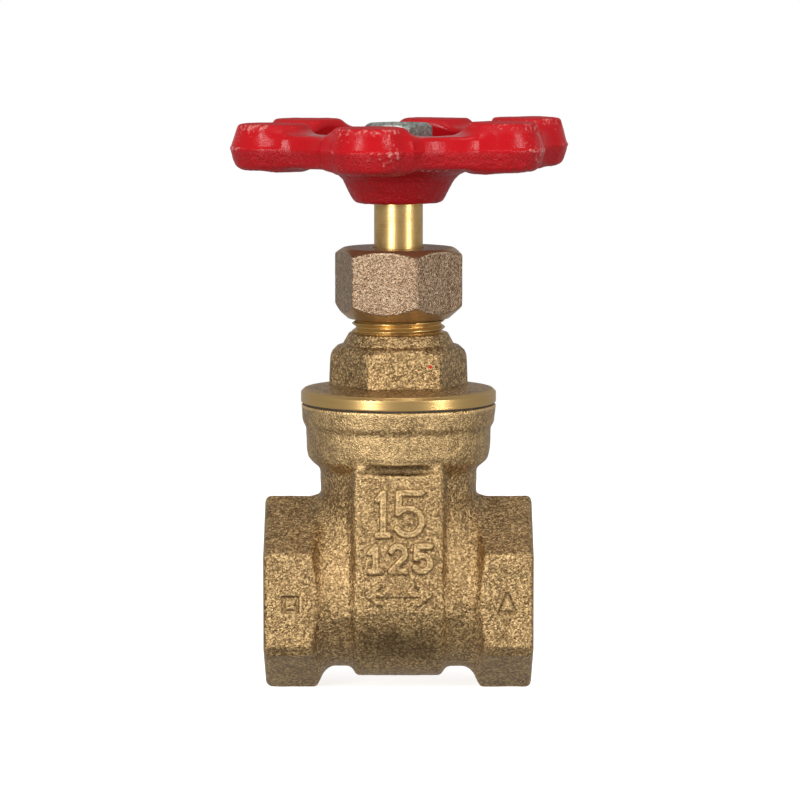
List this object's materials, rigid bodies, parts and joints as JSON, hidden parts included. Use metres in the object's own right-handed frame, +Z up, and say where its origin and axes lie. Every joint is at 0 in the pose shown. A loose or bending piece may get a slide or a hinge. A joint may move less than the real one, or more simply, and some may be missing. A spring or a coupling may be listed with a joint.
{
  "type": "gate valve",
  "caption": "Half-inch screwed brass gate valve with hexagon ends, screwed bonnet, packing nut, non-rising stem, wedge gate and lobed red handwheel.",
  "frame": {"origin": "where the waterway's centreline crosses the stem's axis, midway between the two threaded ends", "axes": "+Z up along the stem towards the handwheel, +X along the pipe out of the outlet end, -Y out of the marked front face"},
  "size_m": [0.0553, 0.0558, 0.093],
  "materials": {
    "cast_brass": "sand-cast, tumbled, dull",
    "forged_brass": "shot-blasted",
    "machined_brass": "turned, bright",
    "gasket_fibre": "compressed fibre, matt",
    "packing": "graphited packing, matt",
    "red_enamel": "gloss enamel on a casting",
    "zinc_steel": "zinc plated, dull"
  },
  "bodies": {
    "body": {"valve_body": "cast_brass", "bonnet_gasket": "gasket_fibre", "bonnet": "cast_brass", "stem_retaining_ring": "machined_brass", "thrust_washer": "zinc_steel", "packing_washer": "machined_brass", "packing_ring_1": "packing", "packing_ring_2": "packing", "packing_ring_3": "packing", "packing_gland": "machined_brass", "packing_nut": "forged_brass"},
    "spindle": {"stem": "machined_brass", "handwheel": "red_enamel", "wheel_lock_washer": "zinc_steel", "wheel_nut": "zinc_steel"},
    "wedge": {"wedge": "machined_brass"}
  },
  "joints": [
    {"name": "stem_spin", "type": "hinge", "parent": "body", "child": "spindle", "pos_m": [0, 0, 0.05], "axis": [0, 0, 1], "range_deg": [-1710, 0]},
    {"name": "wedge_slide", "type": "slide", "parent": "body", "child": "wedge", "axis": [0, 0, 1], "range_m": [-0.01425, 0]}
  ],
  "couplings": [
    {"joint": "wedge_slide", "follows": "stem_spin", "m_per_rad": 0.00047746}
  ]
}
